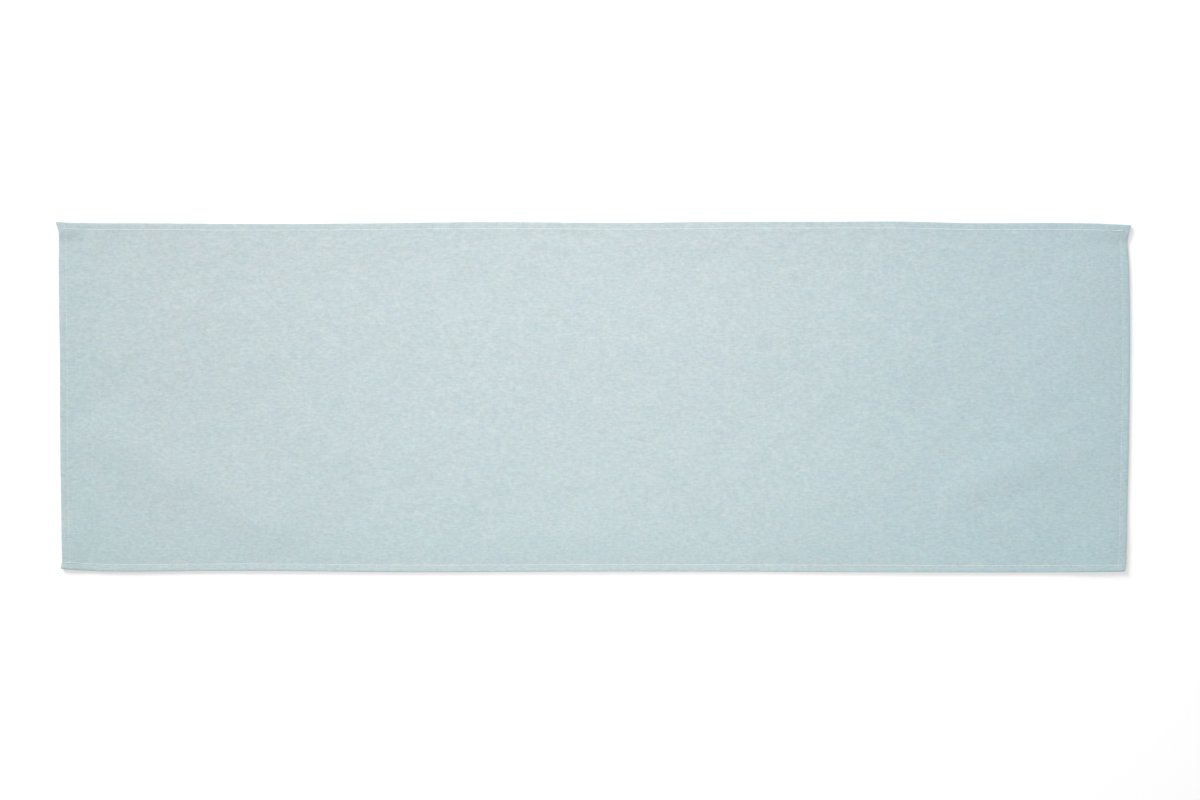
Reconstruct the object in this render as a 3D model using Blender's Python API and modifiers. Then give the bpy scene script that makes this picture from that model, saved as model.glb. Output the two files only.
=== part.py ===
"""Table runner: a long strip of woven cotton cloth. Its four edges are turned under twice to make
narrow hems, and one lockstitch seam of two threads holds each hem.

The runner lies flat on the plane z = 0 with its face up. +X runs along its length and +Y to its
back long edge. Every piece is first worked out on a square runner, from depths measured inwards
from a fold, and as_sewn then moves each point to where it lies on the sewn cloth.

The panel is the single ply inside the hems. A hem is the whole folded border: the turned-in ply,
the lower ply, the outer fold and the face ply, down to the panel. The end hems were sewn first, so
their ends lie inside the long hems, whose face ply laps over them at the corners.
"""

import math

import bmesh
import bpy
import numpy as np

# ---- Driving dimensions, in metres ----

LENGTH = 1.380  # from fold to fold at mid width
WIDTH = 0.450  # from fold to fold across
CLOTH = 0.00045  # thickness of one ply of cloth
THREAD = 0.0003  # diameter of the sewing thread
LONG_HEM = 0.010  # depth of a long hem, from its outer fold to its inner fold
END_HEM = 0.011  # depth of an end hem
SEAM_INSET = 0.0015  # from a hem's inner fold out to its stitch line
SEAM_END = 0.003  # from the outer fold that a seam stops at to the end of its threads
HEM_SLOPE = 0.006  # run over which a hem's face ply comes down to the table
SEAM_SLOPE = 0.002  # run over which a hem climbs onto the lower thread of its seam
LAP_SLOPE = 0.003  # run over which a long hem climbs onto the foot of an end hem
CROSSING_RUN = 0.002  # run over which one face thread climbs over another
GAP = 0.0003  # clearance between two plies, two threads, or a thread and a ply

# How far the sewn ends stray from square: the lean widens the back and narrows the front, the
# bow draws both corners in, and the flare pushes a long fold out past the end of the runner.
END_LEAN = {"left": 0.0019, "right": 0.00155}
END_BOW = {"left": 0.0, "right": 0.00245}
CORNER_FLARE = {
    ("left", "back"): 0.0038,
    ("right", "back"): 0.0035,
    ("left", "front"): 0.0019,
    ("right", "front"): 0.0,
}
FLARE_RUN = 0.060  # length of long hem over which a corner's flare dies out

# ---- What follows from them ----

PLY_STEP = CLOTH + GAP  # from the bottom of one ply to the bottom of the next
TURNED_PLIES = 2  # plies that a hem lays under the face ply
HEM_RISE = TURNED_PLIES * PLY_STEP
THREAD_RISE = THREAD + GAP  # what the lower thread of a seam lifts its hem by
FOLD_RADIUS = PLY_STEP / 2  # centre line of a hem's inner fold

# ---- Fineness of the meshes ----

FOLD_STEPS = 4
ROLL_STEPS = 6
SLOPE_STEPS = 4
TUCK_STEPS = 3
BOW_STEPS = 6
THREAD_POINT_SPACING = 0.001
THREAD_BEVEL_RESOLUTION = 2

SIDES = {"left": -1, "right": 1, "front": -1, "back": 1}
CLOTH_COLOUR = (0.50, 0.60, 0.63, 1.0)
HEM_COLOUR = (0.46, 0.56, 0.59, 1.0)
THREAD_COLOUR = (0.72, 0.76, 0.75, 1.0)


# ---- How the cloth lies ----


def ease(t):
    """0 for t below 0, 1 for t above 1, and a smooth rise with level ends between them."""
    t = np.clip(t, 0.0, 1.0)
    return t * t * (3 - 2 * t)


def tuck_start(hem):
    """Depth at which a hem begins to climb onto the lower thread of its seam."""
    return hem - 2 * SEAM_INSET - SEAM_SLOPE


def thread_lift(depth, hem):
    """Height that the lower thread lifts a hem by, at a depth in from its outer fold."""
    return THREAD_RISE * ease((depth - tuck_start(hem)) / SEAM_SLOPE)


def face_lift(depth, hem):
    """Height of a hem's face ply over the table, at a depth in from its outer fold."""
    coming_down = ease((hem + HEM_SLOPE - depth) / HEM_SLOPE)
    return (HEM_RISE + thread_lift(depth, hem)) * coming_down


def on_long_hem(y):
    """Height that an end hem lies at, at a place across: it climbs onto the long hems."""
    return face_lift(WIDTH / 2 - np.abs(y), LONG_HEM)


def on_end_hem(x):
    """Height that a long hem's face ply gains at a place along, where it laps over an end hem."""
    depth = LENGTH / 2 - np.abs(x)
    lap = ease((END_HEM + HEM_SLOPE + LAP_SLOPE - depth) / LAP_SLOPE)
    return face_lift(depth, END_HEM) + PLY_STEP * lap


def end_reach(side, row):
    """How far a corner of the sewn runner lies beyond the end of the square one."""
    return END_LEAN[side] * SIDES[row] - END_BOW[side] + CORNER_FLARE[side, row]


def centring():
    """Shift along X that keeps the middle of the runner's overall box at x = 0."""
    reach = {side: max(end_reach(side, row) for row in ("front", "back")) for side in END_LEAN}
    return (reach["left"] - reach["right"]) / 2


def as_sewn(x, y):
    """Where a point of the square runner lies along X on the sewn one. An end leans by a
    straight line across the width and bows by its square; near a corner, a long hem moves
    outwards by its flare, in full at its fold and not at all at its inner fold."""
    side = "right" if x > 0 else "left"
    row = "back" if y > 0 else "front"
    across = y / (WIDTH / 2)
    stray = END_LEAN[side] * across - END_BOW[side] * across**2
    near_fold = max(0.0, 1 - (WIDTH / 2 - abs(y)) / LONG_HEM)
    near_end = max(0.0, 1 - (LENGTH / 2 - abs(x)) / FLARE_RUN)
    flare = CORNER_FLARE[side, row] * near_fold * near_end**2
    return x + SIDES[side] * (stray * abs(x) / (LENGTH / 2) + flare) + centring()


# ---- Making the objects ----


def clear_scene():
    for old in list(bpy.data.objects):
        bpy.data.objects.remove(old, do_unlink=True)


def make_collection(name):
    group = bpy.data.collections.new(name)
    bpy.context.scene.collection.children.link(group)
    return group


def make_material(name, colour, roughness):
    material = bpy.data.materials.new(name)
    material.use_nodes = True
    shader = material.node_tree.nodes["Principled BSDF"]
    shader.inputs["Base Color"].default_value = colour
    shader.inputs["Roughness"].default_value = roughness
    shader.inputs["Metallic"].default_value = 0.0
    return material


def ply(name, xs, ys, zs, material, group):
    """One ply of cloth. The arrays hold the middle of the ply on the square runner, one value
    for each row and column of a grid, and Solidify gives it its thickness."""
    rows, columns = zs.shape
    grid = bmesh.new()
    bmesh.ops.create_grid(grid, x_segments=columns - 1, y_segments=rows - 1, size=1.0)
    for vert in grid.verts:
        column = round((vert.co.x + 1) / 2 * (columns - 1))
        row = round((vert.co.y + 1) / 2 * (rows - 1))
        x = float(xs[row, column])
        y = float(ys[row, column])
        vert.co = (as_sewn(x, y), y, float(zs[row, column]) + CLOTH / 2)
    bmesh.ops.recalc_face_normals(grid, faces=grid.faces)
    mesh = bpy.data.meshes.new(name)
    grid.to_mesh(mesh)
    grid.free()
    mesh.materials.append(material)
    mesh.shade_smooth()
    piece = bpy.data.objects.new(name, mesh)
    group.objects.link(piece)
    solidify = piece.modifiers.new("thickness", "SOLIDIFY")
    solidify.thickness = CLOTH
    solidify.offset = 0.0
    solidify.use_even_offset = True
    return piece


def thread(name, xs, ys, zs, material, group):
    """A sewing thread: a round tube along the points of its centre line."""
    curve = bpy.data.curves.new(name, "CURVE")
    curve.dimensions = "3D"
    curve.bevel_depth = THREAD / 2
    curve.bevel_resolution = THREAD_BEVEL_RESOLUTION
    curve.use_fill_caps = True
    curve.materials.append(material)
    line = curve.splines.new("POLY")
    line.points.add(len(xs) - 1)
    for point, x, y, z in zip(line.points, xs, ys, zs):
        point.co = (as_sewn(float(x), float(y)), float(y), float(z), 1.0)
    piece = bpy.data.objects.new(name, curve)
    group.objects.link(piece)
    return piece


# ---- The pieces of cloth ----


def both_ways(depths, size, middle=()):
    """Places across a size, from its low edge to its high one: at these depths from each edge,
    and at the middle ones between."""
    low = np.asarray(depths) - size / 2
    return np.concatenate([low, middle, -low[::-1]])


def field_rows():
    """Places across the panel at which its ends, and the end hems and seams beside them, bow."""
    half_width = WIDTH / 2 - LONG_HEM - HEM_SLOPE - GAP
    return np.linspace(-half_width, half_width, BOW_STEPS + 1)


def tuck_depths(hem):
    """Depths over which a hem climbs onto its lower thread."""
    return tuck_start(hem) + SEAM_SLOPE * np.linspace(0, 1, TUCK_STEPS + 1)


def face_depths(hem):
    """Depths at which a hem's face ply bends, from its seam's tuck to its foot on the table."""
    return np.concatenate([tuck_depths(hem), hem + HEM_SLOPE * np.linspace(0, 1, SLOPE_STEPS + 1)])


def panel(material, group):
    """The single ply inside the hems, flat on the table and clear of their feet all round."""
    columns = both_ways([END_HEM + HEM_SLOPE + GAP], LENGTH, [0.0])
    xs, ys = np.meshgrid(columns, field_rows())
    return ply("cloth_panel", xs, ys, np.zeros_like(xs), material, group)


def hem_section(hem, over):
    """Middle of a hem's plies, as depths and heights: the turned-in ply from its raw edge to the
    inner fold, the fold, the lower ply back to the outer fold, the outer fold as a half circle,
    and the face ply down to its foot. over is what the face ply gains at each place along the
    hem, and the outer fold grows with it."""
    places = np.ones_like(over)
    roll = (HEM_RISE + over) / 2
    roll_depth = roll + CLOTH / 2
    raw_edge = (roll_depth + GAP)[None, :]
    tuck = np.outer(tuck_depths(hem), places)
    fold_depth = hem - FOLD_RADIUS - CLOTH / 2
    turn = np.linspace(math.pi / 2, -math.pi / 2, FOLD_STEPS + 1)[:, None]
    sweep = np.linspace(-math.pi / 2, math.pi / 2, ROLL_STEPS + 1)[:, None]
    turned_depths = np.vstack([
        raw_edge,
        tuck,
        fold_depth + FOLD_RADIUS * np.cos(turn) * places,
        tuck[::-1],
        roll_depth - roll * np.cos(sweep),
    ])
    turned_heights = np.vstack([
        np.full_like(raw_edge, PLY_STEP),
        np.full_like(tuck, PLY_STEP),
        FOLD_RADIUS * (1 + np.sin(turn)) * places,
        np.zeros_like(tuck),
        roll * (1 + np.sin(sweep)),
    ])
    face = np.outer(face_depths(hem), places)
    depths = np.vstack([turned_depths, face])
    heights = np.vstack([
        turned_heights + thread_lift(turned_depths, hem),
        face_lift(face, hem) + over,
    ])
    return depths, heights


def long_hem(row, material, group):
    """The folded border of a long edge, from end to end. Its turned plies lie on the table, and
    its face ply laps over the end hems."""
    foot = END_HEM + HEM_SLOPE
    lap = foot + LAP_SLOPE * np.array([1 / 3, 2 / 3, 1])
    flare = FLARE_RUN * np.array([0.6, 1.0])
    end_depths = np.concatenate([[0.0], face_depths(END_HEM), lap, flare])
    stations = both_ways(end_depths, LENGTH, [0.0])
    depths, heights = hem_section(LONG_HEM, on_end_hem(stations))
    xs = np.broadcast_to(stations, depths.shape)
    ys = SIDES[row] * (WIDTH / 2 - depths)
    return ply(f"long_hem_{row}", xs, ys, heights, material, group)


def end_hem(side, material, group):
    """The folded border of an end. Its ends climb onto the turned plies of the long hems, and
    stop just inside their outer folds."""
    widest_roll = (HEM_RISE + on_end_hem(LENGTH / 2 - END_HEM)) / 2
    inside_roll = widest_roll + CLOTH / 2 + GAP
    end_depths = np.concatenate([[inside_roll], face_depths(LONG_HEM)])
    stations = both_ways(end_depths, WIDTH, field_rows()[1:-1])
    depths, heights = hem_section(END_HEM, np.zeros_like(stations))
    xs = SIDES[side] * (LENGTH / 2 - depths)
    ys = np.broadcast_to(stations, depths.shape)
    return ply(f"end_hem_{side}", xs, ys, heights + on_long_hem(ys), material, group)


# ---- The seams ----


def seam_places(size, slope_end, middle=()):
    """Places of a thread's points along a seam: close together over the hem and the slopes that
    it crosses at each end, and the middle ones between them."""
    count = math.ceil((slope_end - SEAM_END) / THREAD_POINT_SPACING)
    return both_ways(np.linspace(SEAM_END, slope_end, count + 1), size, middle)


def long_seam(row, material, group):
    """Both threads of a long seam. The face thread climbs over those of the end seams."""
    xs = seam_places(LENGTH, END_HEM + HEM_SLOPE + LAP_SLOPE)
    ys = np.full_like(xs, SIDES[row] * (WIDTH / 2 - LONG_HEM + SEAM_INSET))
    from_crossing = np.abs(LENGTH / 2 - END_HEM + SEAM_INSET - np.abs(xs))
    hump = THREAD_RISE * ease(1 + (THREAD - from_crossing) / CROSSING_RUN)
    face = on_end_hem(xs) + on_long_hem(ys) + CLOTH + GAP + THREAD / 2 + hump
    thread(f"needle_thread_{row}", xs, ys, face, material, group)
    thread(f"bobbin_thread_{row}", xs, ys, np.full_like(xs, THREAD / 2), material, group)


def end_seam(side, material, group):
    """Both threads of an end seam. They climb with the end hem onto the long hems, and the face
    thread also climbs onto the long hems' face plies, which lap over the end hem."""
    foot = LONG_HEM + HEM_SLOPE
    ys = seam_places(WIDTH, foot + LAP_SLOPE, field_rows()[1:-1])
    xs = np.full_like(ys, SIDES[side] * (LENGTH / 2 - END_HEM + SEAM_INSET))
    under = on_long_hem(ys) + THREAD / 2
    lap = ease((foot + LAP_SLOPE - WIDTH / 2 + np.abs(ys)) / LAP_SLOPE)
    face = HEM_RISE + THREAD_RISE + under + CLOTH + GAP + PLY_STEP * lap
    thread(f"needle_thread_{side}", xs, ys, face, material, group)
    thread(f"bobbin_thread_{side}", xs, ys, under, material, group)


def main():
    clear_scene()
    runner = make_collection("table_runner")
    cloth = make_material("sky_blue_chambray", CLOTH_COLOUR, 0.85)
    turned = make_material("sky_blue_chambray_hem", HEM_COLOUR, 0.85)
    cotton = make_material("off_white_sewing_thread", THREAD_COLOUR, 0.6)
    panel(cloth, runner)
    for row in ("back", "front"):
        long_hem(row, turned, runner)
        long_seam(row, cotton, runner)
    for side in ("left", "right"):
        end_hem(side, turned, runner)
        end_seam(side, cotton, runner)


main()
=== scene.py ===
"""Looks of the table runner: chambray cloth, double-turned hems and lockstitch seams, worked out as
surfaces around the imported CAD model.

The whole cloth is one surface, folded twice. Points are first placed on a square runner whose
middle is the origin: x along it, y across it and z up from the table. A depth is measured inwards
from an outer fold. settle then moves every point of cloth and thread alike to where it lies on
the sewn and used runner, so pieces that meet there still meet.
"""

import math

import bpy
import numpy as np
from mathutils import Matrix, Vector


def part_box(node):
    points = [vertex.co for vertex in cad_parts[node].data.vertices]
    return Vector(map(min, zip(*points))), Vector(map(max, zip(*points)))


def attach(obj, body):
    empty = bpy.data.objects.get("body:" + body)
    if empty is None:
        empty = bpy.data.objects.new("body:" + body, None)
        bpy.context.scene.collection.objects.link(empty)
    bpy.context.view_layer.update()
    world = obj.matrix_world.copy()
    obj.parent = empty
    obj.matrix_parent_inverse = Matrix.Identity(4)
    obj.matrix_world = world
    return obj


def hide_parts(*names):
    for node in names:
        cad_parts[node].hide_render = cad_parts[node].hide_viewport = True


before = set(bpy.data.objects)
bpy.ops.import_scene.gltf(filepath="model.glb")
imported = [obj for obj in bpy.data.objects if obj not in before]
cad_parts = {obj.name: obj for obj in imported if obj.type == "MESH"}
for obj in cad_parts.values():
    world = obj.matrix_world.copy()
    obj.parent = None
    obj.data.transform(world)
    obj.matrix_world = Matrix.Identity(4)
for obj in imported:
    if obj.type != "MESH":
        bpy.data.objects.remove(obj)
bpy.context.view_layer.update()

# ---- Sizes, in metres ----

LENGTH = 1.380  # from outer fold to outer fold at mid width
WIDTH = 2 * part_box("long_hem_back")[1].y
HALF_LENGTH = LENGTH / 2
HALF_WIDTH = WIDTH / 2
CLOTH = 0.00026  # thickness of one ply
PITCH = 0.00025  # from one ply to the next in a pressed hem
LONG_HEM = 0.010  # from a hem's outer fold to its inner one
END_HEM = 0.011
HEM = {"left": END_HEM, "right": END_HEM, "front": LONG_HEM, "back": LONG_HEM}
LONG_PRESS = 1.0  # depth of a pressed fold for its height
END_PRESS = 0.80
RAW_EDGE = 0.0026  # depth at which the turned-in ply starts
FOOT = 0.006  # from a hem's inner fold to where its piece gives way to the panel
FIELD_STEP = 0.005  # spacing of the panel's grid
STITCH = 0.0040  # from one needle hole to the next
THREAD = 0.00052  # diameter
SEAM_INSET = 0.0015  # from a hem's inner fold out to its stitch line
SEAM_END = 0.003  # from an outer fold to the first needle hole of a seam that runs out to it

SIDES = {"left": -1, "right": 1, "front": -1, "back": 1}
LONG_EDGES = ("back", "front")
ENDS = ("left", "right")
SEED = 11

# Run over which the face comes down to the table from each hem's inner fold.
SHOULDER = {"left": 0.045, "right": 0.110, "back": 0.045, "front": 0.110}
# Run over which a long hem climbs onto the folded end hem at a corner, and over which the face
# comes down from it, inside the long hem.
STACK_RUN = {"left": 0.026, "right": 0.080}
STACK_FADE = {"back": 0.016, "front": 0.080}

# ---- How the sewn runner strays from the square one, in metres ----

# Outwards stray of each edge, as (place along the edge, stray) control points.
EDGE_STRAY = {
    "left": (
        (-0.225, -0.0033), (-0.160, -0.0020), (-0.107, -0.0009), (-0.056, -0.0003),
        (0.000, 0.0000), (0.048, 0.0001), (0.099, 0.0009), (0.150, 0.0016), (0.225, 0.0014),
    ),
    "right": (
        (-0.225, -0.0052), (-0.185, -0.0039), (-0.133, -0.0029), (-0.081, -0.0016),
        (-0.004, -0.0003), (0.048, 0.0002), (0.150, -0.0004), (0.182, -0.0015),
        (0.202, -0.0027), (0.225, -0.0028),
    ),
    "back": (
        (-0.690, 0.0013), (-0.664, 0.0000), (-0.610, -0.0005), (-0.458, -0.0014),
        (-0.400, -0.0014), (-0.277, -0.0005), (-0.122, 0.0009), (0.033, -0.0001),
        (0.162, 0.0011), (0.317, 0.0015), (0.420, 0.0012), (0.475, -0.0003),
        (0.575, -0.0003), (0.627, -0.0006), (0.665, -0.0016), (0.690, -0.0032),
    ),
    "front": (
        (-0.690, -0.0033), (-0.664, -0.0017), (-0.625, -0.0004), (-0.510, -0.0010),
        (-0.260, 0.0004), (0.000, -0.0003), (0.260, 0.0003), (0.520, 0.0009),
        (0.665, 0.0004), (0.690, 0.0001),
    ),
}
# How far the long fold is pushed out past the end at a corner, the depth over which that dies
# out, and the power that it dies out by.
CORNER_FLARE = {
    ("left", "back"): (0.0047, 0.0118, 1.0),
    ("right", "back"): (0.0054, 0.0210, 1.5),
    ("left", "front"): (0.0024, 0.0100, 1.0),
    ("right", "front"): (-0.0010, 0.0100, 1.0),
}
FLARE_RUN = 0.060  # and the run along the fold over which it dies out
CORNER_RADIUS = 0.0022
CORNER_RUN = 0.008  # from the end to where the rounding of the tip no longer moves the cloth
CENTRING = 0.00155  # shift that keeps the middle of the overall box at x = 0

# ---- How it lies, in metres ----

# Waves in its height over the table: height, wavelength, and how many are summed.
BROAD_LIE = (0.0004, 0.28, 9)
SMALL_LIE = (0.00012, 0.07, 9)
BROAD_SHORTER = 1.6  # the broad waves are this much shorter across the runner
LIE_AT_EDGE = 0.35  # share of the waves and swells that is left at the edges
LIE_RUN = 0.05
# Soft swells left by folding and handling: from, to, half width, height.
SWELLS = (
    ((-0.645, -0.047), (-0.420, -0.168), 0.030, 0.0012),
    ((0.470, -0.124), (0.575, -0.081), 0.026, 0.0009),
)
# How far each edge stands off the table, and the run over which that dies out.
EDGE_LIFT = {"left": 0.0003, "right": 0.0010, "back": 0.0003, "front": 0.0010}
EDGE_LIFT_RUN = {"left": 0.090, "right": 0.300, "back": 0.090, "front": 0.210}
LIFT_WAVES = (0.25, 0.25, 6)  # unevenness of that: share, wavelength, and how many are summed
CORNER_REACH = 0.060  # as far as this the thick corners' weight holds the edges down
CORNER_HOLD = 0.85  # and takes away this share of the lift
# How far the outer folds curl up from their stitch lines.
FOLD_CURL = {"left": 0.0, "right": 0.00020, "back": 0.0, "front": 0.00050}

SEAM_WIDTH = 0.0007  # of the groove that a seam draws
SEAM_LIFT = 0.00018  # the lower thread raises a hem's underside by this
SEAM_SINK = 0.00004  # and the upper thread draws its face down by this
HOLE_WIDTH = 0.0010
HOLE_SINK = 0.00007  # dimple at each needle hole
PUCKER_WIDTH = 0.0045
# Puckers along a seam: height, wavelength, and how many waves are summed.
FINE_PUCKERS = (0.00003, 0.009, 7)
BROAD_PUCKERS = (0.00006, 0.040, 5)
PUCKER_APART = 0.05  # each seam crosses the waves at another place


# ---- Plain numbers ----


def ease(t):
    """0 below 0, 1 above 1, and between them 3t^2 - 2t^3, which is level at both ends."""
    t = np.clip(t, 0.0, 1.0)
    return t * t * (3 - 2 * t)


def fading(depth, run):
    """1 at no depth and 0 from the run on, along the ease curve."""
    return 1 - ease(depth / run)


def bell(distance, width):
    """e to the power of minus the square of the distance in widths."""
    return np.exp(-((distance / width) ** 2))


def through(points, at):
    """Natural cubic curve through (place, value) points: between two of them, a cubic whose
    bends at the points solve the usual three-term equations, with none at the ends."""
    place, value = np.array(points, float).T
    gap = np.diff(place)
    slope = np.diff(value) / gap
    size = len(place)
    matrix = np.eye(size)
    inner = np.arange(1, size - 1)
    matrix[inner, inner - 1] = gap[:-1]
    matrix[inner, inner] = 2 * (gap[:-1] + gap[1:])
    matrix[inner, inner + 1] = gap[1:]
    right = np.zeros(size)
    right[1:-1] = 6 * np.diff(slope)
    bend = np.linalg.solve(matrix, right)
    at = np.clip(at, place[0], place[-1])
    k = np.clip(np.searchsorted(place, at) - 1, 0, size - 2)
    t = (at - place[k]) / gap[k]
    straight = (1 - t) * value[k] + t * value[k + 1]
    curve = ((1 - t) ** 3 - (1 - t)) * bend[k] + (t**3 - t) * bend[k + 1]
    return straight + curve * gap[k] ** 2 / 6


def waves(x, y, wavelength, count, seed):
    """Sum of cosine waves about one wavelength long in random directions, near -1 to 1."""
    rng = np.random.default_rng(seed)
    turn = rng.uniform(0, math.pi, count)
    number = 2 * math.pi / (wavelength * rng.uniform(0.7, 1.5, count))
    start = rng.uniform(0, 2 * math.pi, count)
    total = np.zeros(np.broadcast(x, y).shape)
    for angle, k, phase in zip(turn, number, start):
        total = total + np.cos(k * (x * math.cos(angle) + y * math.sin(angle)) + phase)
    return total / math.sqrt(2 * count)


# ---- How the cloth is folded ----


def end_depth(x):
    return HALF_LENGTH - np.abs(x)


def long_depth(y):
    return HALF_WIDTH - np.abs(y)


def end_rise(x):
    """Rise of the face over the panel, from the two plies that an end hem turns under it: all of
    it over the hem, and none from the end of the shoulder's curve on."""
    run = np.where(x < 0, SHOULDER["left"], SHOULDER["right"])
    return 2 * PITCH * fading(end_depth(x) - END_HEM, run)


def end_stack(x):
    """The same two plies as a long hem feels them, where each of its folds climbs onto them."""
    run = np.where(x < 0, STACK_RUN["left"], STACK_RUN["right"])
    return 2 * PITCH * fading(end_depth(x) - END_HEM, run)


def face_height(x, y):
    """Height of the face ply's middle. Over a long hem it lies on two plies, and at a corner on
    eight, because each of the long hem's three folds then holds the end hem's three plies."""
    inside = long_depth(y) - LONG_HEM
    over_hem = fading(inside, np.where(y < 0, SHOULDER["front"], SHOULDER["back"]))
    over_stack = fading(inside, np.where(y < 0, STACK_FADE["front"], STACK_FADE["back"]))
    flat = over_hem * 2 * PITCH + (1 - over_hem) * end_rise(x)
    return CLOTH / 2 + flat + over_stack * 3 * end_stack(x)


FOLD_STEPS = 4
ROLL_STEPS = 7
# Places of a hem's rows: along the turned-in ply and the lower one as shares of their widths,
# and on the face and the foot as depths from the outer and the inner fold.
TURNED_PLACES = np.array([0.0, 0.40, 0.70, 0.86])
LOWER_PLACES = np.array([0.25, 0.50, 0.70, 0.80, 0.85, 0.8824, 0.915, 0.96])
FACE_DEPTHS = 0.001 * np.array([3.0, 5.0, 6.6, 7.5, 8.1, 8.5, 8.9, 9.5])
FOOT_DEPTHS = 0.001 * np.array([0.1, 0.6, 1.1, 1.7, 2.4, 3.4, 4.6])
WHOLE_FOOT = np.append(FOOT_DEPTHS, FOOT)


def hem_section(hem, stack, press):
    """A hem's cloth across, from the raw edge to the foot: depth, height of the face side's ply
    over the table, and the outward normal of that side, as (depth, height). Each is an array
    of rows across by places along. stack is what the plies of another hem folded into this one
    add to one of its layers.

    The turned-in ply runs inwards. The inner fold is a half circle as high as two layers less
    one ply. The lower ply runs back outwards on the table. The outer fold is a half circle as
    high as three layers less one ply, and the face ply starts from its top. Pressing makes both
    folds half ellipses, this much as deep as they are high."""
    one = np.ones_like(stack)
    fold = (PITCH + 2 * stack) / 2
    roll = (2 * PITCH + 3 * stack) / 2
    fold_depth = hem - CLOTH / 2 - press * fold
    roll_depth = CLOTH / 2 + press * roll
    turn = np.linspace(math.pi / 2, -math.pi / 2, FOLD_STEPS + 1)[:, None]
    sweep = np.linspace(-math.pi / 2, math.pi / 2, ROLL_STEPS + 1)[:, None]
    turned_depth = RAW_EDGE + TURNED_PLACES[:, None] * (fold_depth - RAW_EDGE)
    lower_depth = fold_depth + (1 - LOWER_PLACES[::-1, None]) * (roll_depth - fold_depth)
    face_depth = (FACE_DEPTHS + (hem - LONG_HEM))[:, None] * one
    inner_depth = fold_depth + press * fold * np.cos(turn)
    outer_depth = roll_depth - press * roll * np.cos(sweep)
    parts = (
        (turned_depth, 2 * fold, 0, 1),
        (inner_depth, fold * (1 + np.sin(turn)), np.cos(turn), np.sin(turn)),
        (lower_depth, 0, 0, -1),
        (outer_depth, roll * (1 + np.sin(sweep)), -np.cos(sweep), np.sin(sweep)),
        (face_depth, 2 * roll, 0, 1),
    )
    return [
        np.vstack([np.broadcast_to(part[k], part[0].shape) for part in parts]) for k in range(4)
    ]


def end_section():
    """Depths and heights of an end hem's rows, away from the corners."""
    depth, height, _, _ = hem_section(END_HEM, np.zeros(1), END_PRESS)
    return depth[:, 0], height[:, 0]


def long_places():
    """Places along a long hem: down one end's folded plies, along the face at three places to a
    stitch, and up the other end's. With each, how far its ply lies below the face."""
    depth, height = end_section()
    depth = np.concatenate([depth, END_HEM + FOOT_DEPTHS])
    drop = np.concatenate([2 * PITCH - height, np.zeros(len(FOOT_DEPTHS))])
    count = round((HALF_LENGTH - END_HEM - FOOT) / (STITCH / 3))
    middle = np.arange(-count, count + 1) * STITCH / 3
    x = np.concatenate([depth - HALF_LENGTH, middle, HALF_LENGTH - depth[::-1]])
    return x, np.concatenate([drop, 0 * middle, drop[::-1]])


def long_hem(row):
    """The folded border of a long edge, corners included: each point of the cloth, already
    folded at the ends, is carried round the long hem's section, below its face side by its
    ply's drop along that side's normal."""
    x, drop = long_places()
    depth, height, out_depth, out_height = hem_section(LONG_HEM, end_stack(x), LONG_PRESS)
    foot = np.broadcast_to((LONG_HEM + WHOLE_FOOT)[:, None], (len(WHOLE_FOOT), len(x)))
    depth, z = np.vstack([depth, foot]), np.vstack([height + CLOTH / 2, foot])
    out_depth = np.vstack([out_depth, 0 * foot])
    out_height = np.vstack([out_height, 1 + 0 * foot])
    top = len(FACE_DEPTHS) + len(WHOLE_FOOT)
    z[-top:] = face_height(x, SIDES[row] * (HALF_WIDTH - depth[-top:]))
    depth = depth - drop * out_depth
    z = z - drop * out_height
    return np.stack([np.broadcast_to(x, z.shape), SIDES[row] * (HALF_WIDTH - depth), z], -1)


def end_hem(side):
    """The folded border of an end, between the feet of the two long hems: its section carried
    across, and raised near them by as much as its face is."""
    depth, height = end_section()
    foot = END_HEM + WHOLE_FOOT
    depth = np.concatenate([depth, foot])
    z = CLOTH / 2 + np.concatenate([height, end_rise(HALF_LENGTH - foot)])
    reach = HALF_WIDTH - LONG_HEM - FOOT
    y = np.linspace(-reach, reach, 2 * round(reach / (STITCH / 4)) + 1)
    depth, y = np.meshgrid(depth, y, indexing="ij")
    x = SIDES[side] * (HALF_LENGTH - depth)
    flat_face = CLOTH / 2 + end_rise(x)
    z = z[:, None] + face_height(x, y) - flat_face
    return np.stack([x, y, z], -1)


def field():
    """The single ply inside the hems: a plain grid at the face's height."""
    reach = np.array([HALF_LENGTH - END_HEM - FOOT, HALF_WIDTH - LONG_HEM - FOOT])
    x, y = (np.linspace(-r, r, 2 * round(r / FIELD_STEP) + 1) for r in reach)
    x, y = np.meshgrid(x, y)
    return np.stack([x, y, face_height(x, y)], -1)


# ---- How it settles ----


def seams(x, y):
    """For each pair of seams: distance off the stitch line, place along it, and which it is."""
    yield long_depth(y) - LONG_HEM + SEAM_INSET, x, np.sign(y)
    yield end_depth(x) - END_HEM + SEAM_INSET, y, 3 * np.sign(x)


def draw_in(x, y, z):
    """z as the seams' tension leaves it. Near a stitch line, by a bell curve across it, the
    stack of plies is squeezed from below and above; and each needle hole adds a dimple."""
    top = face_height(x, y) + CLOTH / 2
    for off, along, _ in seams(x, y):
        to_hole = STITCH * ((along / STITCH + 0.5) % 1 - 0.5)
        hole = bell(off, HOLE_WIDTH) * bell(to_hole, HOLE_WIDTH)
        share = np.clip(z / top, 0, 1.2)
        squeeze = SEAM_LIFT - (SEAM_LIFT + SEAM_SINK) * share
        z = z + bell(off, SEAM_WIDTH) * squeeze - hole * HOLE_SINK * share
    return z


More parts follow.
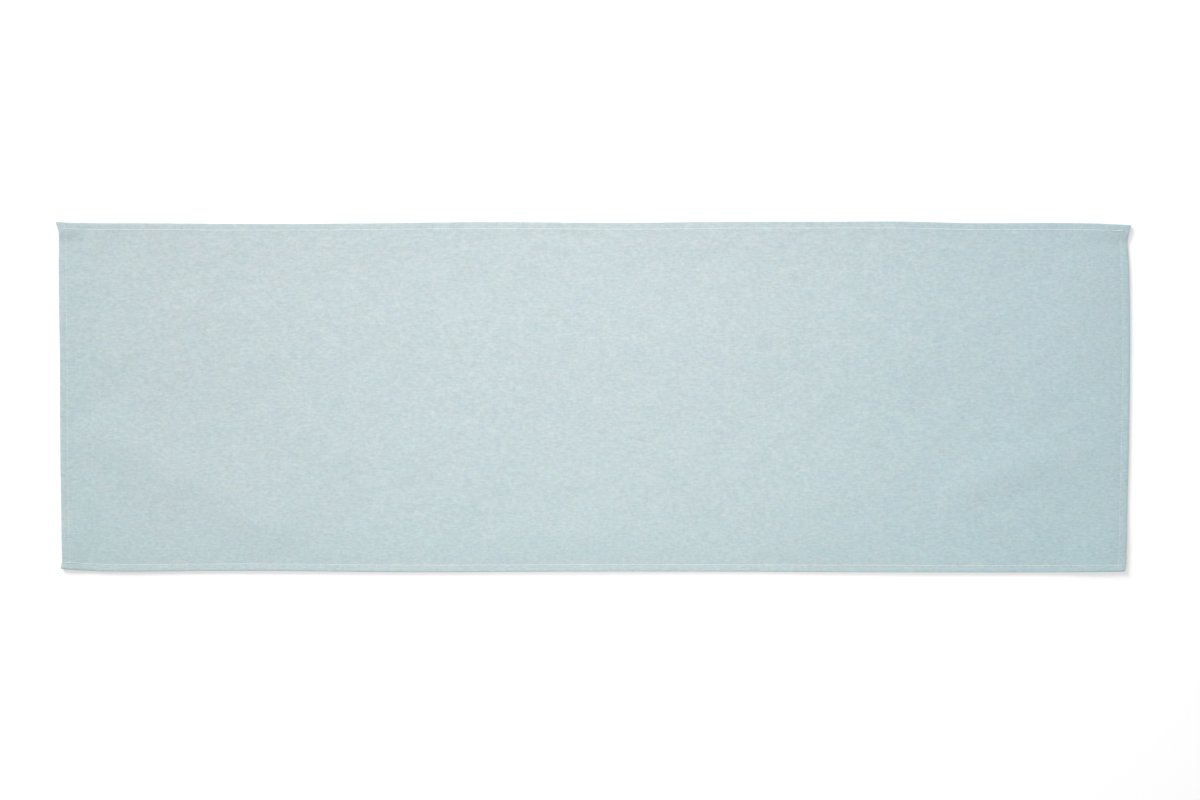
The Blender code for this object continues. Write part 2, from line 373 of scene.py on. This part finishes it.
def puckers(x, y):
    """Height that sewing gathers a hem by: irregular waves along each seam that fade within a
    few millimetres to either side of it, by a bell curve."""
    total = np.zeros(np.broadcast(x, y).shape)
    for off, along, which in seams(x, y):
        for step, (height, wavelength, count) in enumerate((FINE_PUCKERS, BROAD_PUCKERS), 1):
            gather = waves(along, PUCKER_APART * which, wavelength, count, SEED + step)
            total = total + bell(off, PUCKER_WIDTH) * height * gather
    return total


def relief(x, y):
    """Height of the cloth's underside over the table: broad and small waves and soft swells,
    all lower by the edges, where each swell is a bell curve of the distance from its line. To
    that come the highest of the edges' uneven lifts, held down at the corners, and each outer
    fold's curl, a straight slope from the stitch line."""
    height, wavelength, count = BROAD_LIE
    lie = height * (1 + waves(x, BROAD_SHORTER * y, wavelength, count, SEED))
    height, wavelength, count = SMALL_LIE
    lie = lie + height * (1 + waves(x, y, wavelength, count, SEED + 3))
    for start, end, half_width, height in SWELLS:
        a, b = np.array(start), np.array(end)
        line = b - a
        t = np.clip(((x - a[0]) * line[0] + (y - a[1]) * line[1]) / (line @ line), 0, 1)
        away = np.hypot(x - a[0] - t * line[0], y - a[1] - t * line[1])
        lie = lie + height * bell(away, half_width)
    edge = np.minimum(end_depth(x), long_depth(y))
    lie = np.maximum(lie * (LIE_AT_EDGE + (1 - LIE_AT_EDGE) * ease(edge / LIE_RUN)), 0)
    depths = {
        "left": HALF_LENGTH + x,
        "right": HALF_LENGTH - x,
        "front": HALF_WIDTH + y,
        "back": HALF_WIDTH - y,
    }
    lifts = []
    for name, depth in depths.items():
        lifts.append(EDGE_LIFT[name] * fading(depth, EDGE_LIFT_RUN[name]))
        lie = lie + FOLD_CURL[name] * np.clip(1 - depth / (HEM[name] - SEAM_INSET), 0, 1)
    share, wavelength, count = LIFT_WAVES
    uneven = 1 + share * waves(x, y, wavelength, count, SEED + 4)
    corner = fading(end_depth(x), CORNER_REACH) * fading(long_depth(y), CORNER_REACH)
    return lie + uneven * np.max(lifts, axis=0) * (1 - CORNER_HOLD * corner)


def sewn(x, y):
    """Where a point of the square runner lies on the sewn one. Each edge strays outwards by a
    smooth curve, shared out across the cloth in proportion. Near a corner the long fold moves
    outwards by its flare, and its tip is rounded off by a quarter circle."""
    stray = {name: through(points, y if name in ENDS else x) for name, points in EDGE_STRAY.items()}
    to_right, to_back = 0.5 + x / LENGTH, 0.5 + y / WIDTH
    new_x = x + to_right * stray["right"] - (1 - to_right) * stray["left"] + CENTRING
    new_y = y + to_back * stray["back"] - (1 - to_back) * stray["front"]
    from_fold = np.maximum(long_depth(y), 0)
    from_end = np.maximum(end_depth(x), 0)
    for (side, row), (flare, reach, power) in CORNER_FLARE.items():
        here = (np.sign(x) == SIDES[side]) & (np.sign(y) == SIDES[row])
        near_fold = np.clip(1 - from_fold / reach, 0, 1) ** power
        near_end = np.clip(1 - from_end / FLARE_RUN, 0, 1) ** 2
        new_x = new_x + here * SIDES[side] * flare * near_fold * near_end
    short = np.clip(CORNER_RADIUS - from_fold, 0, CORNER_RADIUS)
    inset = CORNER_RADIUS - np.sqrt(CORNER_RADIUS**2 - short**2)
    new_x = new_x - np.sign(x) * inset * fading(from_end, CORNER_RUN)
    return new_x, new_y


def settle(points):
    """Each point of the square runner, cloth or thread, where it lies on the real one."""
    x, y, z = np.moveaxis(points, -1, 0)
    z = draw_in(x, y, z) + puckers(x, y) * np.clip(z / CLOTH, 0, 1) + relief(x, y)
    x, y = sewn(x, y)
    return np.stack([x, y, z], -1)


# ---- Making the pieces ----

CRISP_ANGLE = math.radians(60)  # edges that bend by more, the cut ones, aren't shaded smooth


def make_piece(name, vertices, faces, material, node):
    mesh = bpy.data.meshes.new(name)
    mesh.from_pydata(vertices.reshape(-1, 3).tolist(), [], faces)
    mesh.materials.append(material)
    mesh.shade_smooth()
    mesh.set_sharp_from_angle(angle=CRISP_ANGLE)
    piece = bpy.data.objects.new(name, mesh)
    bpy.context.scene.collection.objects.link(piece)
    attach(piece, "root")
    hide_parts(node)
    return piece


def quads(grid):
    around = (grid[:-1, :-1], grid[:-1, 1:], grid[1:, 1:], grid[1:, :-1])
    return np.stack(around, -1).reshape(-1, 4)


def border(grid):
    """A grid's outermost points, once around."""
    return np.concatenate([grid[0, :-1], grid[:-1, -1], grid[-1, :0:-1], grid[:0:-1, 0]])


def make_cloth(name, middle, material, node):
    """A ply of cloth as a closed shell: its middle surface moved half a ply to either side along
    the normal, which is the cross product of the grid's two directions, with a rim between."""
    across, along = np.gradient(middle, axis=0), np.gradient(middle, axis=1)
    normal = np.cross(along, across)
    normal /= np.linalg.norm(normal, axis=-1, keepdims=True)
    shell = settle(np.stack([middle + normal * CLOTH / 2, middle - normal * CLOTH / 2]))
    one, other = np.arange(shell[..., 0].size).reshape(shell.shape[:-1])
    upper, lower = border(one), border(other)
    rim = np.stack([np.roll(upper, -1), upper, lower, np.roll(lower, -1)], -1)
    faces = np.vstack([quads(one), quads(other)[:, ::-1], rim]).tolist()
    return make_piece(name, shell, faces, material, node)


# Places of a stitch's rings along it, in stitches, and the rise of its middle over the cloth.
STITCH_PLACES = np.array([0.04, 0.11, 0.30, 0.70, 0.89, 0.96])
STITCH_RISE = 0.001 * np.array([-0.28, -0.02, 0.07, 0.07, -0.02, -0.28])
RING = 6
# How unevenly it is sewn: spread of the stitches' places across and along the seam, the slant
# that all have, and the least and greatest share of the rise.
STRAY_ACROSS = 0.00007
STRAY_ALONG = 0.00006
STITCH_SLANT = 0.00012
FULLNESS = (0.85, 1.15)
# How far each seam's thread stands out of the cloth: the ends' tighter stitches sink into it.
SEAM_SHOWS = {"back": 0.0, "front": 0.0, "left": -0.00024, "right": -0.00025}
# Stitches sewn again at the end of a long seam, and how far they lie over the first ones.
BACK_TACK = {"back": slice(-3, None), "front": slice(0, 3)}
TACK_LIFT = 0.7 * THREAD
UNDER_THREAD = 0.00015  # height over the table that a lower thread's rise is taken from


def make_stitches(edge, holes, under, lift, material, seed):
    """A seam's upper or lower stitches: each a tube from one needle hole to the next that comes
    out of the cloth, lies on it and dives back. lift is how much further each stands out. An
    end hem's two turned plies hang below its face, and climb with it at the corners."""
    rng = np.random.default_rng(SEED + seed)
    count = len(holes)
    slant = np.linspace(-STITCH_SLANT, STITCH_SLANT, len(STITCH_PLACES))
    lean = rng.normal(0, STRAY_ACROSS, (count, 1)) + slant
    run = holes[:, None] + STITCH * STITCH_PLACES + rng.normal(0, STRAY_ALONG, (count, 1))
    rise = STITCH_RISE * rng.uniform(*FULLNESS, (count, 1)) + lift[:, None]
    angle = np.linspace(0, 2 * math.pi, RING, endpoint=False)
    across = lean[..., None] + THREAD / 2 * np.cos(angle)
    run, rise = run[..., None] + 0 * across, rise[..., None]
    if edge in LONG_EDGES:
        x, y = run, SIDES[edge] * (HALF_WIDTH - LONG_HEM + SEAM_INSET) + across
        bulge = -THREAD / 2 * np.sin(angle)
    else:
        x, y = SIDES[edge] * (HALF_LENGTH - END_HEM + SEAM_INSET) + across, run
        bulge = THREAD / 2 * np.sin(angle)
    if not under:
        z = face_height(x, y) + CLOTH / 2 + rise + bulge
    elif edge in LONG_EDGES:
        z = UNDER_THREAD - rise + bulge
    else:
        z = face_height(x, y) - 2 * PITCH - CLOTH / 2 + UNDER_THREAD - rise + bulge
    points = settle(np.stack([x, y, z], -1))
    index = np.arange(x.size).reshape(x.shape)
    ahead = np.roll(index, -1, axis=2)
    walls = np.stack([index[:, :-1], index[:, 1:], ahead[:, 1:], ahead[:, :-1]], -1)
    caps = index[:, 0, :].tolist() + index[:, -1, ::-1].tolist()
    thread = "bobbin" if under else "needle"
    return make_piece(
        f"{thread}_stitches_{edge}", points, walls.reshape(-1, 4).tolist() + caps,
        material, f"{thread}_thread_{edge}",
    )


def seam_holes(length, short):
    """Needle holes along a seam, one stitch apart on either side of its middle, that stop short
    of both ends."""
    count = int((length / 2 - short) / STITCH)
    return np.arange(-count, count) * STITCH


# ---- Materials ----

YARN = 0.00052  # from one yarn of the weave to the next
YARN_WOBBLE = (0.004, 0.004, 0.004)  # size of the weave's unevenness
WOBBLE_TURN = 0.6  # and how far it shifts the yarns, as an angle
SLUB_ALONG = (0.0060, 0.0024, 0.0024)  # sizes of the thick places in the yarns
SLUB_ACROSS = (0.0026, 0.0048, 0.0026)
SLUB_STREAK = (0.022, 0.0018, 0.0018)
ACROSS_SHARE, STREAK_SHARE = 0.45, 0.20  # strength of the last two for the first
SLUB_HEIGHT = 0.8  # height of the slubs for the yarns' crowns
WARM_SIZE = (0.021, 0.016, 0.021)  # and of the soft patches of hue
GREEN_SIZE = (0.024, 0.020, 0.024)
GREEN_APART = (-0.7, 0.8, 1.0)  # mirrors and stretches the noise, so that they lie elsewhere
WARM_SHARE = 0.12  # what the warm patches add to the white yarns' share
WARM_RED, WARM_BLUE, GREEN_GREEN = 0.060, -0.035, 0.050  # and what each adds to its colours
NEP_SPACING = 0.045
NEP_LEAST, NEP_SPREAD = 0.020, 0.030  # size of the neps, in spacings
NEP_RARITY = 0.55  # share of the places that have none
NEP_EDGE = 1.5  # sharpness of their edges
NEP_COLOUR = (0.16, 0.30, 0.38, 1)
# Where the cloth's colour drifts, less red towards both ends and the front and bluer towards the
# right, as the places between which it does so, and what it then adds to the red and the blue: the
# first two along the runner, the last across it.
RIGHT_DRIFT, RIGHT_RED, RIGHT_BLUE = (0.08, 0.72), -0.078, 0.022
LEFT_DRIFT, LEFT_RED = (-0.54, -0.72), -0.045
FRONT_DRIFT, FRONT_RED = (-0.13, -0.23), -0.022
STRAND = 0.0006  # from one strand of the thread's twist to the next
FUZZ = (0.0004, 0.0004, 0.0004)


def new_group(name, inputs, outputs):
    tree = bpy.data.node_groups.new(name, "ShaderNodeTree")
    for label, kind, value in inputs:
        socket = tree.interface.new_socket(name=label, in_out="INPUT", socket_type=kind)
        if value is not None:
            socket.default_value = value
    for label, kind in outputs:
        tree.interface.new_socket(name=label, in_out="OUTPUT", socket_type=kind)
    return tree, tree.nodes.new("NodeGroupInput"), tree.nodes.new("NodeGroupOutput")


def put(tree, kind, inputs=(), **settings):
    """A node with its settings, and each given input linked or set to a value."""
    node = tree.nodes.new(kind)
    for key, value in settings.items():
        setattr(node, key, value)
    for key, value in dict(inputs).items():
        if isinstance(value, bpy.types.NodeSocket):
            tree.links.new(value, node.inputs[key])
        else:
            node.inputs[key].default_value = value
    return node


def calc(tree, operation, a, b=0.0, c=0.0, clamp=False):
    node = put(tree, "ShaderNodeMath", {0: a, 1: b, 2: c}, operation=operation, use_clamp=clamp)
    return node.outputs[0]


def plus(tree, base, value, amount, clamp=False):
    """base plus amount times value."""
    return calc(tree, "MULTIPLY_ADD", value, amount, base, clamp)


def blend_colours(tree, share, a, b):
    return put(tree, "ShaderNodeMix", {0: share, 6: a, 7: b}, data_type="RGBA").outputs[2]


def drifting(tree, place, between):
    """0 before the first place, 1 after the second, and a smooth S curve between them."""
    start, end = between
    inputs = {0: place, 1: start, 2: end}
    return put(tree, "ShaderNodeMapRange", inputs, interpolation_type="SMOOTHSTEP").outputs[0]


def stretched(tree, place, sizes):
    """The place divided by a size in each direction, so that one noise unit spans that size."""
    inputs = {"Vector": place, "Scale": [1 / s for s in sizes]}
    return put(tree, "ShaderNodeMapping", inputs).outputs[0]


def noise(tree, place, sizes, detail):
    """Noise about 0, one lump to each size, near -0.5 to 0.5."""
    inputs = {"Vector": stretched(tree, place, sizes), "Scale": 1.0, "Detail": detail}
    return calc(tree, "SUBTRACT", put(tree, "ShaderNodeTexNoise", inputs).outputs["Fac"], 0.5)


def add_neps(tree, cloth, place, strength):
    """The cloth's colour with sparse dark spots: round cells' distances, cut off at each spot's
    own size, in the cells that have one."""
    cells = put(
        tree, "ShaderNodeTexVoronoi",
        {"Vector": stretched(tree, place, 3 * (NEP_SPACING,)), "Scale": 1.0, "Randomness": 1.0},
    )
    pick = put(tree, "ShaderNodeSeparateXYZ", {0: cells.outputs["Color"]}).outputs
    size = plus(tree, NEP_LEAST, pick[0], NEP_SPREAD)
    away = calc(tree, "DIVIDE", cells.outputs["Distance"], size)
    near = calc(tree, "SUBTRACT", 1.0, away, clamp=True)
    spot = calc(tree, "MULTIPLY", near, NEP_EDGE, clamp=True)
    has_one = calc(tree, "GREATER_THAN", pick[1], NEP_RARITY)
    nep = calc(tree, "MULTIPLY", calc(tree, "MULTIPLY", spot, has_one), strength)
    return blend_colours(tree, nep, cloth, NEP_COLOUR)


def chambray_group():
    """Plain weave of coloured and white yarns. Colour: a mix of the two by the weave's checks, the
    slubs and a soft mottle, made lighter and darker by the slubs, which run along the length
    with fainter ones across and long thin streaks. Soft patches make it warmer or greener, and
    its red drifts across the runner and towards the ends and the front. Sparse neps are dark.
    Height: each yarn's crown over the checks, which are the product of two sines, plus its
    slubs."""
    tree, given, made = new_group(
        "chambray_weave",
        [
            ("Place", "NodeSocketVector", None),
            ("Coloured yarn", "NodeSocketColor", (0.364, 0.520, 0.566, 1)),
            ("White yarn", "NodeSocketColor", (0.664, 0.690, 0.682, 1)),
            ("Weave", "NodeSocketFloat", 0.10),
            ("Slubs", "NodeSocketFloat", 0.25),
            ("Heather", "NodeSocketFloat", 0.16),
            ("Mottle", "NodeSocketFloat", 1.5),
            ("Neps", "NodeSocketFloat", 0.30),
            ("Warmth across", "NodeSocketFloat", 0.09),
        ],
        [("Color", "NodeSocketColor"), ("Height", "NodeSocketFloat")],
    )
    value = given.outputs
    place = value["Place"]
    x, y, _ = put(tree, "ShaderNodeSeparateXYZ", {0: place}).outputs

    wobble = noise(tree, place, YARN_WOBBLE, 1.0)
    yarns = []
    for axis in (x, y):
        count = calc(tree, "MULTIPLY", axis, math.pi / YARN)
        yarns.append(calc(tree, "SINE", plus(tree, count, wobble, WOBBLE_TURN)))
    checks = calc(tree, "MULTIPLY", *yarns)
    slubs = noise(tree, place, SLUB_ALONG, 1.0)
    slubs = plus(tree, slubs, noise(tree, place, SLUB_ACROSS, 1.0), ACROSS_SHARE)
    slubs = plus(tree, slubs, noise(tree, place, SLUB_STREAK, 0.0), STREAK_SHARE)
    warm = noise(tree, place, WARM_SIZE, 2.0)
    green = noise(tree, stretched(tree, place, GREEN_APART), GREEN_SIZE, 2.0)

    share = plus(tree, 0.5, checks, value["Weave"])
    share = plus(tree, share, slubs, value["Heather"])
    share = plus(tree, share, warm, WARM_SHARE, clamp=True)
    cloth = blend_colours(tree, share, value["Coloured yarn"], value["White yarn"])
    light = plus(tree, 1.0, slubs, value["Slubs"])
    cloth = put(tree, "ShaderNodeVectorMath", {0: cloth, "Scale": light}, operation="SCALE")

    warm = calc(tree, "MULTIPLY", warm, value["Mottle"])
    green = calc(tree, "MULTIPLY", green, value["Mottle"])
    to_right = drifting(tree, x, RIGHT_DRIFT)
    red = plus(tree, 1.0, y, value["Warmth across"])
    red = plus(tree, red, warm, WARM_RED)
    red = plus(tree, red, drifting(tree, x, LEFT_DRIFT), LEFT_RED)
    red = plus(tree, red, to_right, RIGHT_RED)
    red = plus(tree, red, drifting(tree, y, FRONT_DRIFT), FRONT_RED)
    blue = plus(tree, plus(tree, 1.0, warm, WARM_BLUE), to_right, RIGHT_BLUE)
    green = plus(tree, 1.0, green, GREEN_GREEN)
    tint = put(tree, "ShaderNodeCombineXYZ", {0: red, 1: green, 2: blue})
    cloth = put(
        tree, "ShaderNodeVectorMath", {0: cloth.outputs[0], 1: tint.outputs[0]},
        operation="MULTIPLY",
    )
    cloth = add_neps(tree, cloth.outputs[0], place, value["Neps"])

    height = plus(tree, calc(tree, "ABSOLUTE", checks), slubs, SLUB_HEIGHT)
    tree.links.new(cloth, made.inputs["Color"])
    tree.links.new(height, made.inputs["Height"])
    return tree


def new_material(name, finish):
    """A material, its node tree and its shader, with the sockets that are the same all over."""
    material = bpy.data.materials.new(name)
    material.use_nodes = True
    shader = material.node_tree.nodes["Principled BSDF"]
    for key, value in finish.items():
        shader.inputs[key].default_value = value
    return material, material.node_tree, shader


def show(tree, shader, colour, height, strength, distance):
    """Links a colour to the shader, and a height to its normal through a bump."""
    bump = {"Height": height, "Strength": strength, "Distance": distance}
    bumped = put(tree, "ShaderNodeBump", bump)
    tree.links.new(colour, shader.inputs["Base Color"])
    tree.links.new(bumped.outputs["Normal"], shader.inputs["Normal"])


def cloth_material(name, weave, values, bump):
    material, tree, shader = new_material(name, {
        "Roughness": 0.88,
        "Specular IOR Level": 0.25,
        "Sheen Weight": 0.12,
        "Sheen Roughness": 0.5,
    })
    where = put(tree, "ShaderNodeTexCoord").outputs["Object"]
    group = put(tree, "ShaderNodeGroup", {}, node_tree=weave)
    tree.links.new(where, group.inputs["Place"])
    for key, value in values.items():
        group.inputs[key].default_value = value
    show(tree, shader, group.outputs["Color"], group.outputs["Height"], 1.0, bump)
    return material


def thread_material():
    """Off-white cotton: two strands twisted together, as slanted stripes along the seam, the sine
    of x plus y, with a little fuzz."""
    finish = {"Roughness": 0.62, "Sheen Weight": 0.1}
    material, tree, shader = new_material("off_white_cotton_thread", finish)
    where = put(tree, "ShaderNodeTexCoord").outputs["Object"]
    x, y, _ = put(tree, "ShaderNodeSeparateXYZ", {0: where}).outputs
    slant = calc(tree, "MULTIPLY", calc(tree, "ADD", x, y), 2 * math.pi / STRAND)
    strands = calc(tree, "SINE", slant)
    fuzz = noise(tree, where, FUZZ, 2.0)
    tone = plus(tree, plus(tree, 0.7, strands, 0.12), fuzz, 0.3, clamp=True)
    colour = blend_colours(tree, tone, (0.78, 0.78, 0.76, 1), (0.95, 0.93, 0.91, 1))
    show(tree, shader, colour, strands, 0.6, 0.00006)
    return material


# ---- The runner ----

weave = chambray_group()
face_cloth = cloth_material("sky_blue_chambray", weave, {}, 0.00010)
hem_values = {"Neps": 0.1, "Warmth across": 0.025}
hem_cloth = cloth_material("sky_blue_chambray_hem", weave, hem_values, 0.00012)
cotton = thread_material()

panel = make_cloth("runner_panel", field(), face_cloth, "cloth_panel")
for row in LONG_EDGES:
    strip = long_hem(row)
    make_cloth(f"hem_{row}", strip, hem_cloth, f"long_hem_{row}")
for side in ENDS:
    strip = end_hem(side)
    make_cloth(f"hem_{side}", strip, hem_cloth, f"end_hem_{side}")

for number, edge in enumerate(LONG_EDGES + ENDS):
    size, under_end = (LENGTH, SEAM_END) if edge in LONG_EDGES else (WIDTH, LONG_HEM)
    holes = seam_holes(size, SEAM_END)
    lift = np.full(len(holes), SEAM_SHOWS[edge])
    if edge in BACK_TACK:
        again = holes[BACK_TACK[edge]]
        holes, lift = np.append(holes, again), np.append(lift, 0 * again + TACK_LIFT)
    make_stitches(edge, holes, False, lift, cotton, number)
    holes = seam_holes(size, under_end)
    make_stitches(edge, holes, True, 0 * holes, cotton, number + 4)

# ---- Studio ----

FLOOR_REACH = 8.0
FLOOR_HEIGHT = -0.0002
# Lights: where each hangs, where it points, its size, and its power in watts.
LIGHTS = {
    "overhead": ((0.0, 0.12, 1.1), (0.0, 0.12, 0.0), (0.6, 0.5), 5.15),
    "key": ((-5.1, 6.6, 2.6), (0.0, 0.0, 0.0), (4.5, 3.0), 1100.0),
    "fill": ((3.2, -1.6, 0.7), (0.0, 0.0, 0.0), (1.2, 0.8), 22.0),
}
ROOM_LIGHT = 0.370
LENS = 85.0
FRAME_WIDTH = 1.5488  # width of the table that the camera sees


def make_floor():
    """A plain white table, much wider than the runner."""
    corners = [(x, y, FLOOR_HEIGHT) for x, y in (
        (-FLOOR_REACH, -FLOOR_REACH), (FLOOR_REACH, -FLOOR_REACH),
        (FLOOR_REACH, FLOOR_REACH), (-FLOOR_REACH, FLOOR_REACH),
    )]
    mesh = bpy.data.meshes.new("table_top")
    mesh.from_pydata(corners, [], [(0, 1, 2, 3)])
    material, _, _ = new_material("white_table", {
        "Base Color": (0.92, 0.92, 0.92, 1),
        "Roughness": 0.9,
        "Specular IOR Level": 0.1,
        "Emission Color": (1, 1, 1, 1),
        "Emission Strength": 0.160,
    })
    mesh.materials.append(material)
    floor = bpy.data.objects.new("table_top", mesh)
    bpy.context.scene.collection.objects.link(floor)


def make_light(name, place, target, size, power):
    data = bpy.data.lights.new(name, "AREA")
    data.shape = "RECTANGLE"
    data.size, data.size_y = size
    data.energy = power
    lamp = bpy.data.objects.new(name, data)
    lamp.location = place
    lamp.rotation_euler = (Vector(target) - Vector(place)).to_track_quat("-Z", "Y").to_euler()
    lamp.visible_camera = False
    bpy.context.scene.collection.objects.link(lamp)


make_floor()
for name, settings in LIGHTS.items():
    make_light(name, *settings)

world = bpy.data.worlds.new("pale_room")
world.use_nodes = True
world.node_tree.nodes["Background"].inputs["Color"].default_value = (1.0, 1.0, 1.0, 1)
world.node_tree.nodes["Background"].inputs["Strength"].default_value = ROOM_LIGHT
bpy.context.scene.world = world
bpy.context.scene.view_settings.view_transform = "Standard"

camera_data = bpy.data.cameras.new("camera")
camera_data.lens = LENS
camera = bpy.data.objects.new("camera", camera_data)
camera.location = (0.0085, -0.0040, FRAME_WIDTH * LENS / camera_data.sensor_width)
bpy.context.scene.collection.objects.link(camera)
bpy.context.scene.camera = camera
